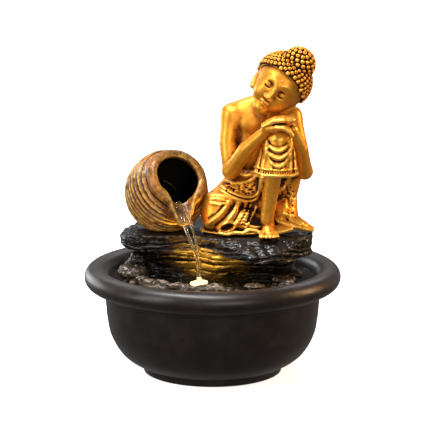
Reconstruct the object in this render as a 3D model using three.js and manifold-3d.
// Tabletop water fountain: a round plastic bowl holds the water and a submersible pump with a lamp, and a cast
// rockwork that carries a seated figure and a tilted jar lifts out of it.
// Millimetres, +Z up, the front faces -Y, and the origin is the centre of the base on the surface it stands on.
import * as THREE from "three";
import { mergeVertices } from "three/addons/utils/BufferGeometryUtils.js";
import Module from "manifold-3d";

const wasm = await Module();
wasm.setup();

// ---- Driving dimensions ----
const GAP = 0.35; // clearance between pieces that touch
const RIM_R = 105; // outside radius of the bowl's rolled rim
const RIM_TOP = 88.8;
const WALL = 2.6; // bowl wall
const FOOT_R = 56; // outside radius of the bowl's foot ring
const PAD_H = 1.5; // height of the foam pads under the foot ring
const FLOOR_Z = 8.6; // top of the bowl's floor
const BASE_TOP = 79; // top of the lower rock, where the stream lands
const LEDGE_Z = 103; // underside of the upper rock slab
const LEDGE_H = 14; // its thickness
const GROUND = LEDGE_Z + LEDGE_H; // what the figure and the jar stand on
const SPLASH = [-11, -27]; // where the stream falls, over the lamp

// ---- Materials ----
const material = (color, roughness, metalness = 0) =>
  new THREE.MeshStandardMaterial({ color, roughness, metalness });
const bowlPlastic = material(0x2b2b2d, 0.5);
const rockResin = material(0x2a2624, 0.35);
const goldResin = material(0xc8862a, 0.35, 0.8);
const jarResin = material(0x9a6434, 0.5, 0.2);
const pumpPlastic = material(0x1b1c1f, 0.5);
const rubber = material(0x202020, 0.8);
const foam = material(0x3a3a3a, 0.95);
const clearPlastic = material(0xe8e8e0, 0.1);
const magnet = material(0x4a4744, 0.6);
const ceramic = material(0xf0eee8, 0.25);
const cableSheath = material(0x161616, 0.6);

// ---- Solids ----
const root = new THREE.Group();
const V = (x, y, z) => new THREE.Vector3(x, y, z);
const P = (x, y) => new THREE.Vector2(x, y);

function solidOf(geometry) {
  const bare = geometry.index ? geometry.toNonIndexed() : geometry.clone();
  bare.deleteAttribute("normal");
  bare.deleteAttribute("uv");
  const merged = mergeVertices(bare, 1e-3);
  return new wasm.Manifold(
    new wasm.Mesh({
      numProp: 3,
      vertProperties: merged.attributes.position.array,
      triVerts: new Uint32Array(merged.index.array),
    }),
  );
}

function geometryOf(solid) {
  const made = solid.getMesh();
  return new THREE.BufferGeometry()
    .setAttribute("position", new THREE.BufferAttribute(made.vertProperties, 3))
    .setIndex(new THREE.BufferAttribute(made.triVerts, 1));
}

function add(name, solid, look) {
  const mesh = new THREE.Mesh(geometryOf(solid), look);
  mesh.name = name;
  root.add(mesh);
  return solid;
}

const joined = (solids) => solids.reduce((all, one) => all.add(one));

// A profile of (radius, height) points turned about Z.
function turned(profile, segments) {
  return new THREE.LatheGeometry(profile, segments).rotateX(Math.PI / 2);
}

function box(low, high) {
  const size = high.map((top, i) => top - low[i]);
  const middle = high.map((top, i) => (top + low[i]) / 2);
  return solidOf(new THREE.BoxGeometry(...size).translate(...middle));
}

// A cylinder from one point to another.
function rod(from, to, radius, segments = 16) {
  const along = to.clone().sub(from);
  const geometry = new THREE.CylinderGeometry(radius, radius, along.length(), segments);
  const turn = new THREE.Quaternion().setFromUnitVectors(V(0, 1, 0), along.normalize());
  return solidOf(
    geometry.applyQuaternion(turn).translate(...from.clone().add(to).multiplyScalar(0.5).toArray()),
  );
}

// A round-ended limb that tapers from one radius to the other.
function limb(from, to, fromRadius, toRadius, segments = 10) {
  const along = to.clone().sub(from);
  const length = along.length();
  const profile = [];
  for (let i = 0; i <= 3; i++) {
    const a = (-Math.PI / 2) * (1 - i / 3);
    profile.push(P(i ? fromRadius * Math.cos(a) : 0, fromRadius * Math.sin(a)));
  }
  for (let i = 0; i <= 3; i++) {
    const a = (Math.PI / 2) * (i / 3);
    profile.push(P(i < 3 ? toRadius * Math.cos(a) : 0, length + toRadius * Math.sin(a)));
  }
  const turn = new THREE.Quaternion().setFromUnitVectors(V(0, 1, 0), along.normalize());
  return solidOf(
    new THREE.LatheGeometry(profile, segments).applyQuaternion(turn).translate(...from.toArray()),
  );
}

// An ellipsoid, leaning about Y by a number of degrees.
function blob(centre, radii, lean = 0, segments = 12) {
  return solidOf(
    new THREE.SphereGeometry(1, segments, Math.round(segments * 0.7))
      .scale(...radii)
      .rotateY(THREE.MathUtils.degToRad(lean))
      .translate(...centre),
  );
}

// A tube along a smooth route; with a bore it is open at both ends.
function tube(route, radius, steps, sides, bore = 0) {
  const section = new THREE.Shape();
  section.absarc(0, 0, radius, 0, 2 * Math.PI);
  if (bore) {
    const hole = new THREE.Path();
    hole.absarc(0, 0, bore, 0, 2 * Math.PI, true);
    section.holes.push(hole);
  }
  return solidOf(
    new THREE.ExtrudeGeometry(section, {
      steps,
      curveSegments: sides,
      extrudePath: new THREE.CatmullRomCurve3(route.map((p) => V(...p))),
    }),
  );
}

// A slab whose outline is a smooth closed curve through the points.
function slab(points, low, high, bevel) {
  const around = new THREE.CatmullRomCurve3(points.map(([x, y]) => V(x, y, 0)), true);
  const outline = around.getPoints(points.length * 3).slice(0, -1);
  const shape = new THREE.Shape(outline.map((p) => P(p.x, p.y)));
  return solidOf(
    new THREE.ExtrudeGeometry(shape, {
      depth: high - low - 2 * bevel,
      bevelThickness: bevel,
      bevelSize: bevel,
      bevelOffset: -bevel,
      bevelSegments: 1,
    }).translate(0, 0, low + bevel),
  );
}

function arc(centreR, centreZ, radiusR, radiusZ, fromDeg, toDeg, steps) {
  return Array.from({ length: steps + 1 }, (_, i) => {
    const a = THREE.MathUtils.degToRad(fromDeg + ((toDeg - fromDeg) * i) / steps);
    return P(centreR + radiusR * Math.cos(a), centreZ + radiusZ * Math.sin(a));
  });
}

// ---- Bowl ----
// The wall's outside as (radius, height), from the foot ring up to the rolled rim.
const WALL_LINE = [
  [FOOT_R + 4, 7.6],
  [68, 12.5],
  [75.2, 19.7],
  [82.2, 32.4],
  [85.2, 45.2],
  [86.9, 57.9],
  [88.2, 68],
];
const ROLL = { wide: 9.5, tall: 9.1, skin: 2.4 }; // half sizes of the rolled rim, and its thickness
const ROLL_R = RIM_R - ROLL.wide; // the middle of the rolled rim
const ROLL_Z = RIM_TOP - ROLL.tall;
const CURL = -75; // degrees, how far the roll turns under

// The wall's inside: thinner and raised over the rounded bottom.
function insideOf([r, z]) {
  const rounded = z < 25;
  return P(r - (rounded ? WALL * 0.75 : WALL), z + (rounded ? 1.9 : 0.6));
}

function bowlProfile() {
  const { wide, tall, skin } = ROLL;
  return [
    P(0, 6),
    P(FOOT_R - 9, 6),
    P(FOOT_R - 8, PAD_H),
    P(FOOT_R - 2, PAD_H),
    P(FOOT_R, PAD_H + 2),
    P(FOOT_R, 6.8),
    ...WALL_LINE.map(([r, z]) => P(r, z)),
    ...arc(ROLL_R, ROLL_Z, wide - skin, tall - skin, 180, CURL, 8),
    ...arc(ROLL_R, ROLL_Z, wide, tall, CURL, 180, 9),
    ...WALL_LINE.map(insideOf).reverse(),
    P(FOOT_R - 4, FLOOR_Z),
    P(0, FLOOR_Z),
  ];
}

const GLAND_Z = 64;
const bowl = solidOf(turned(bowlProfile(), 36)).subtract(
  rod(V(0, 78, GLAND_Z), V(0, 95, GLAND_Z), 4.6),
);
add("bowl", bowl, bowlPlastic);

for (let i = 0; i < 4; i++) {
  const a = Math.PI / 4 + (i * Math.PI) / 2;
  const r = FOOT_R - 5;
  const at = V(r * Math.cos(a), r * Math.sin(a), 0);
  add(`foot_pad_${i + 1}`, rod(at, at.clone().setZ(PAD_H - 0.01), 2.9, 12), foam);
}

// ---- Cable gland in the back wall ----
function ring(y0, y1, outer, inner, sides = 16) {
  const hole = rod(V(0, y0 - 1, GLAND_Z), V(0, y1 + 1, GLAND_Z), inner);
  return rod(V(0, y0, GLAND_Z), V(0, y1, GLAND_Z), outer, sides).subtract(hole);
}
add("cable_gland", ring(79.5, 93, 4.2, 2.6).add(ring(88.6, 93, 6, 2.6)), rubber);
add("gland_nut", ring(80.2, 83.2, 7.2, 4.2 + GAP, 6), pumpPlastic);

// ---- Pump, on the floor of the bowl ----
const PUMP = { x: -10, y: -16, w: 40, d: 34, low: 16, high: 55 };
const PUMP_BACK = PUMP.y + PUMP.d / 2;
const PUMP_FRONT = PUMP.y - PUMP.d / 2;
const SHAFT_Z = 36;
const NOZZLE = [-18, -4];
const onAxis = (y) => V(PUMP.x, y, SHAFT_Z);

function pumpHousing() {
  const half = PUMP.w / 2;
  const shape = new THREE.Shape();
  const corner = 5;
  shape.absarc(half - corner, PUMP.high - corner, corner, 0, Math.PI / 2);
  shape.absarc(-half + corner, PUMP.high - corner, corner, Math.PI / 2, Math.PI);
  shape.absarc(-half + corner, PUMP.low + corner, corner, Math.PI, 1.5 * Math.PI);
  shape.absarc(half - corner, PUMP.low + corner, corner, 1.5 * Math.PI, 2 * Math.PI);
  const block = new THREE.ExtrudeGeometry(shape, {
    depth: PUMP.d,
    bevelEnabled: false,
    curveSegments: 4,
  })
    .rotateX(Math.PI / 2)
    .translate(PUMP.x, PUMP_BACK, 0);
  const nozzleTop = PUMP.high + 6;
  const [nx, ny] = NOZZLE;
  return solidOf(block)
    .add(rod(V(nx, ny, PUMP.high - 1), V(nx, ny, nozzleTop), 4.2, 12))
    .subtract(rod(onAxis(PUMP_BACK - 10), onAxis(PUMP_BACK + 1), 12.5, 20))
    .subtract(rod(onAxis(PUMP_BACK - 28), onAxis(PUMP_BACK - 9), 7.5))
    .subtract(rod(V(nx, ny, SHAFT_Z), V(nx, ny, nozzleTop + 1), 2.8, 12))
    .subtract(rod(V(PUMP.x + half - 3, PUMP.y, 44), V(PUMP.x + half + 1, PUMP.y, 44), 3))
    .subtract(rod(V(PUMP.x, PUMP_FRONT - 1, 26), V(PUMP.x, PUMP_FRONT + 4, 26), 2.2, 12))
    .subtract(rod(V(PUMP.x + half - 4, PUMP.y + 4, 24), V(PUMP.x + half + 1, PUMP.y + 4, 24), 2.6, 12));
}
add("pump_housing", pumpHousing(), pumpPlastic);

// The strainer over the intake, with upright slots; it pulls off backwards for cleaning.
function pumpCover() {
  const low = PUMP_BACK + GAP;
  const high = low + 6;
  const half = PUMP.w / 2;
  let cover = box([PUMP.x - half, low, PUMP.low + 2], [PUMP.x + half, high, PUMP.high]);
  for (let i = -3; i <= 3; i++) {
    const x = PUMP.x + i * 5;
    cover = cover.subtract(box([x - 1.2, low - 1, 24], [x + 1.2, high + 1, 48]));
  }
  const hollow = box([PUMP.x - 15, low - 1, 22], [PUMP.x + 15, high - 2, 50]);
  return cover.subtract(hollow);
}
add("pump_cover", pumpCover(), pumpPlastic);

// The rotor turns on a fixed ceramic shaft.
const SHAFT_R = 1.2;
add("rotor_shaft", rod(onAxis(PUMP_BACK - 27.5), onAxis(PUMP_BACK - 0.5), SHAFT_R, 10), ceramic);

function impeller() {
  const hub = rod(onAxis(PUMP_BACK - 26), onAxis(PUMP_BACK - 1.5), 6.6, 16);
  let wheel = hub.add(rod(onAxis(PUMP_BACK - 9), onAxis(PUMP_BACK - 7.4), 10.5, 20));
  for (let i = 0; i < 5; i++) {
    const vane = new THREE.BoxGeometry(1.4, 6, 10)
      .translate(0, PUMP_BACK - 5, 5.8)
      .rotateY((i * 2 * Math.PI) / 5)
      .translate(PUMP.x, 0, SHAFT_Z);
    wheel = wheel.add(solidOf(vane));
  }
  return wheel.subtract(rod(onAxis(PUMP_BACK - 30), onAxis(PUMP_BACK + 2), SHAFT_R + 0.25, 10));
}
add("impeller", impeller(), magnet);

// The flow dial on the pump's right side, a grooved knob on a short stem.
const DIAL_X = PUMP.x + PUMP.w / 2;
function flowDial() {
  const stem = rod(V(DIAL_X - 2.5, PUMP.y, 44), V(DIAL_X + 2, PUMP.y, 44), 2.6);
  const knob = rod(V(DIAL_X + GAP, PUMP.y, 44), V(DIAL_X + 4, PUMP.y, 44), 6, 20);
  const grip = box([DIAL_X + 3.9, PUMP.y - 1.2, 39], [DIAL_X + 6.5, PUMP.y + 1.2, 49]);
  return stem.add(knob).add(grip);
}
add("flow_dial", flowDial(), pumpPlastic);

function suctionCup(x, y) {
  const profile = [
    P(0, FLOOR_Z + 2),
    P(4, FLOOR_Z + 1.6),
    P(6.8, FLOOR_Z + 0.2),
    P(7, FLOOR_Z + 1),
    P(3, FLOOR_Z + 4),
    P(2.4, PUMP.low - GAP),
    P(0, PUMP.low - GAP),
  ];
  return solidOf(turned(profile, 14).translate(x, y, 0));
}
[[-1, -1], [1, -1], [1, 1], [-1, 1]].forEach(([i, j], n) =>
  add(`suction_cup_${n + 1}`, suctionCup(PUMP.x + i * 12, PUMP.y + j * 9), rubber),
);

// ---- Lamp, clipped on top of the pump under the splash ----
const [SX, SY] = SPLASH;
const LAMP_TOP = 66;
const lampBody = rod(V(SX, SY, PUMP.high + GAP), V(SX, SY, LAMP_TOP), 8.6, 20)
  .subtract(rod(V(SX, SY, LAMP_TOP - 5), V(SX, SY, LAMP_TOP + 1), 7, 20))
  .add(box([SX - 6, PUMP_FRONT - 4, PUMP.high - 7], [SX + 6, PUMP_FRONT - GAP, PUMP.high + 4]));
const lampLead = [
  [SX, PUMP_FRONT - 2.4, PUMP.high - 8],
  [SX, PUMP_FRONT - 7, 40],
  [PUMP.x, PUMP_FRONT - 7, 30],
  [PUMP.x, PUMP_FRONT - 3, 26.3],
  [PUMP.x, PUMP_FRONT + 3, 26],
];
add("lamp_housing", lampBody, pumpPlastic);
add("lamp_board", rod(V(SX, SY, LAMP_TOP - 4.6), V(SX, SY, LAMP_TOP - 3.2), 6.6, 20), ceramic);
const lensCap = rod(V(SX, SY, LAMP_TOP - 2.8), V(SX, SY, LAMP_TOP + 1.5), 6.6, 20);
add("lamp_lens", lensCap.add(blob([SX, SY, LAMP_TOP + 1], [6.6, 6.6, 3.4])), clearPlastic);
add("lamp_lead", tube(lampLead, 1.2, 16, 4), cableSheath);

// The pump's lead runs over the floor, under the rockwork's back edge, and up to the gland.
const pumpLead = [
  [PUMP.x + PUMP.w / 2 - 3, PUMP.y + 4, 24],
  [PUMP.x + PUMP.w / 2 + 6, PUMP.y + 6, 22],
  [22, 8, 12.5],
  [16, 34, 12],
  [4, 54, 13],
  [1, 63, 16.5],
  [0, 70, 25],
  [0, 75, 40],
  [0, 74.5, 56],
  [0, 78.5, GLAND_Z],
  [0, 83, GLAND_Z],
  [0, 87, GLAND_Z],
];
add("pump_lead", tube(pumpLead, 1.6, 40, 4), cableSheath);

// ---- Rockwork ----
// The riser tube slips over the pump's nozzle and climbs inside the rock to the jar.
const [NX, NY] = NOZZLE;
const RISER = [
  [NX, NY, PUMP.high + 2],
  [NX, NY, 64],
  [NX - 4, NY + 6, 76],
  [-32, 14, 90],
  [-39, 14, 104],
  [-40, 12, 118],
  [-40, 11, 127],
];

// A turned rock whose radius wanders with the angle, and less so near its foot.
function rockTurned(profile, segments, wander) {
  const geometry = turned(profile, segments);
  const position = geometry.attributes.position;
  for (let i = 0; i < position.count; i++) {
    const x = position.getX(i);
    const y = position.getY(i);
    const share = THREE.MathUtils.smoothstep(position.getZ(i), 20, 50);
    const a = Math.atan2(y, x);
    const grow = 1 + share * wander * (Math.sin(3 * a + 1) + 0.6 * Math.sin(7 * a)) * 0.5;
    position.setX(i, x * grow);
    position.setY(i, y * grow);
  }
  return solidOf(geometry);
}

const STRATA = [
  [-66, 22], [-60, 2], [-38, -6], [-10, -5], [18, -8], [46, -16], [66, -8], [72, 14], [62, 42], [30, 56],
  [-14, 57], [-50, 46],
];
const LEDGE = [
  [-75, 18], [-70, -8], [-48, -20], [-18, -18], [6, -32], [34, -42], [62, -36], [79, -12], [80, 16],
  [66, 46], [34, 60], [-12, 62], [-54, 48],
];

function rockBase() {
  const outside = [
    P(0, 12), P(48, 12), P(50, 9.9), P(57, 9.9), P(64, 20), P(72, 34), P(76, 52), P(77, 66), P(74, 76),
    P(66, BASE_TOP), P(0, BASE_TOP),
  ];
  const cavity = [P(0, 5), P(50, 5), P(53, 20), P(60, 34), P(64, 50), P(56, 61), P(36, 65), P(0, 65)];
  let rock = rockTurned(outside, 36, 0.04)
    .add(slab(STRATA, BASE_TOP - 4, LEDGE_Z - GAP, 3))
    .subtract(rockTurned(cavity, 28, 0))
    .subtract(rod(V(SX, SY, 50), V(SX, SY, 85), 11))
    .subtract(rod(V(0, 77, 20), V(0, 77, 90), 7))
    .subtract(tube(RISER, 7.4, 12, 4));
  for (let i = 0; i < 4; i++) {
    const out = V(Math.cos((i * Math.PI) / 2), Math.sin((i * Math.PI) / 2), 0);
    const inner = out.clone().multiplyScalar(45).setZ(11);
    const outer = out.clone().multiplyScalar(80).setZ(11);
    rock = rock.subtract(rod(inner, outer, 10, 12));
  }
  return rock;
}
const base = rockBase();
add("rock_base", base, rockResin);

const ledge = slab(LEDGE, LEDGE_Z, GROUND, 3).subtract(tube(RISER, 7.4, 12, 4));
add("rock_ledge", ledge, rockResin);

// Loose stones on the lower rock, on either side of the splash.
const STONES = [
  [-66, -12, 82, 13, 15, 10],
  [-44, -42, 79, 13, 8, 5],
  [58, -24, 81, 10, 8, 5.5],
  [68, -2, 80, 7, 9, 6],
  [34, -46, 79, 11, 7, 4.5],
];
STONES.forEach(([x, y, z, rx, ry, rz], i) => {
  const clear = base.translate(0, 0, GAP);
  const stone = blob([x, y, z], [rx, ry, rz], 8 * i - 16, 10).subtract(clear).subtract(base);
  const above = stone.subtract(box([-99, -99, 0], [99, 99, BASE_TOP - 1]));
  const pieces = above.decompose().sort((a, b) => b.volume() - a.volume());
  add(`stone_${i + 1}`, pieces[0], rockResin);
});

// ---- Jar ----
// Drawn with its mouth up at height 0, then laid down to face the front; its spout points down.
const JAR_R = 34;
const MOUTH_R = 17;
const JAR_TURN = 24; // degrees that the mouth is turned to the right
const JAR_RISE = 36; // degrees that the mouth is tipped up
const JAR_MOUTH = V(-29, -12, 165.3);

function jarFrame() {
  const a = THREE.MathUtils.degToRad(JAR_TURN);
  const e = THREE.MathUtils.degToRad(JAR_RISE);
  const axis = V(Math.cos(e) * Math.sin(a), -Math.cos(e) * Math.cos(a), Math.sin(e));
  const down = V(0, 0, -1).addScaledVector(axis, Math.sin(e)).normalize();
  const side = down.clone().cross(axis);
  return new THREE.Matrix4().makeBasis(down, axis.clone().cross(down), axis).setPosition(JAR_MOUTH);
}

const JAR_OUTSIDE = [
  [0, -58], [17, -57], [27, -49], [32.5, -39], [JAR_R, -29], [32, -15], [27, -4], [22, 0],
];
const JAR_INSIDE = [
  [0, -53], [22, -49], [28, -39], [30, -28], [25, -12], [MOUTH_R, -3],
];

function jar() {
  const outside = JAR_OUTSIDE.map(([r, h]) => P(r, h));
  const inside = JAR_INSIDE.map(([r, h]) => P(r, h));
  const shell = solidOf(turned([...outside, ...inside.toReversed()], 32));
  const bore = solidOf(turned([...inside, P(MOUTH_R, 12), P(0, 12)], 32));
  const spout = limb(V(14, 1, -10), V(38, 4, -4), 14, 7, 14).subtract(bore);
  const channel = limb(V(4, 0, 3), V(48, 5, 3), 14, 4.8, 14);
  return solidOf(geometryOf(shell.add(spout).subtract(channel)).applyMatrix4(jarFrame()));
}

// The room that the jar takes up, without its hollow and a little larger all round.
function jarRoom() {
  const grown = JAR_OUTSIDE.map(([r, h]) => P(r ? r + GAP : 0, h - (r < MOUTH_R ? GAP : 0)));
  return solidOf(turned([...grown, P(0, 0)], 32).applyMatrix4(jarFrame()));
}
const belowGround = box([-150, -150, 0], [150, 150, GROUND + GAP]);
add("jar", jar().subtract(belowGround).subtract(tube(RISER, 7.4, 12, 4)), jarResin);
add("riser_tube", tube(RISER, 6.2, 20, 5, 4.9), clearPlastic);

// ---- Seated figure ----
// One knee is drawn up and the hands lie crossed on it; the head rests on them, leaning to its left.
const HEAD_LEAN = 37; // degrees from upright
const HEAD = [54, -12, 240.5];
const KNEE = V(54, -23, 199);
const HEM_Z = 169; // the lower edge of the cloth over the drawn-up knee
const SEAT = [30, 0, GROUND];
const FIGURE_SIZE = 0.978; // the size is set about the seat, after the figure is joined

// A point of the head: to its left, back and towards its crown from the centre of the head.
function onHead(side, back, rise) {
  const a = THREE.MathUtils.degToRad(HEAD_LEAN);
  const across = V(Math.cos(a), 0, -Math.sin(a)).multiplyScalar(side);
  const crown = V(Math.sin(a), 0, Math.cos(a)).multiplyScalar(rise);
  return V(...HEAD).add(across).add(crown).add(V(0, back, 0));
}

function head() {
  const ears = [-1, 1].map((side) => limb(onHead(side * 18.5, 1, 2), onHead(side * 17.5, 0, -17), 3.6, 2.4, 8));
  return joined([
    blob(HEAD, [16, 17, 24.5], HEAD_LEAN, 14),
    blob(onHead(0, 3, 5).toArray(), [20, 21, 20], HEAD_LEAN, 14),
    blob(onHead(0, 3, 27).toArray(), [11, 11, 11], HEAD_LEAN, 10),
    ...ears,
  ]);
}

function torso() {
  return joined([
    limb(V(48, -4, 228), V(43, 8, 212), 9, 10, 10),
    limb(V(17, 9, 213), V(66, 9, 212), 8.5, 8.2, 10),
    blob([43, 12, 199], [23, 12, 22]),
    limb(V(42, 12, 180), V(40, 10, 145), 17, 22, 12),
    blob([40, 13, 136], [24, 20, 20]),
  ]);
}

function arms() {
  return joined([
    limb(V(15.5, 7, 213), V(14, -5, 168), 8, 6.2),
    limb(V(14, -6, 168), V(42, -29, 207), 6.3, 4),
    limb(V(42, -29, 208), V(63, -33, 207), 4.2, 3.6, 8),
    limb(V(67, 7, 212), V(75, -5, 168), 8, 6.2),
    limb(V(75, -6, 168), V(66, -25, 208), 6.3, 4),
    limb(V(66, -26, 210), V(40, -32, 213), 4.4, 3.4, 8),
  ]);
}

// Cloth over the knee, cut off level at its hem.
function kneeCloth() {
  const below = box([0, -90, 90], [120, 60, HEM_Z]);
  return limb(KNEE, V(50, -20, HEM_Z), 10.5, 17.5, 14).subtract(below);
}

function legs() {
  return joined([
    limb(V(52, 12, 148), V(54, -21, 198), 15, 10),
    kneeCloth(),
    limb(V(54, -22, 190), V(45, -18, 128), 8.5, 5.6),
    limb(V(45, -15, 123), V(46, -31, 120.5), 6, 4.5, 8),
    limb(V(26, 12, 147), V(4, -3, 133), 17, 12.5),
    limb(V(2, -8, 128), V(34, -12, 126), 10.5, 8, 8),
    limb(V(64, 4, 162), V(61, 0, 130), 8, 7.5, 8),
    limb(V(62, -4, 128), V(78, -7, 121), 6.5, 2.6, 8),
    limb(V(-3, -14, 120), V(34, -22, 120), 3.6, 3, 8),
  ]);
}

const figure = joined([head(), torso(), arms(), legs()])
  .translate(SEAT.map((n) => -n))
  .scale(FIGURE_SIZE)
  .translate(SEAT)
  .subtract(belowGround)
  .subtract(jarRoom());
add("figure", figure, goldResin);

export default root;
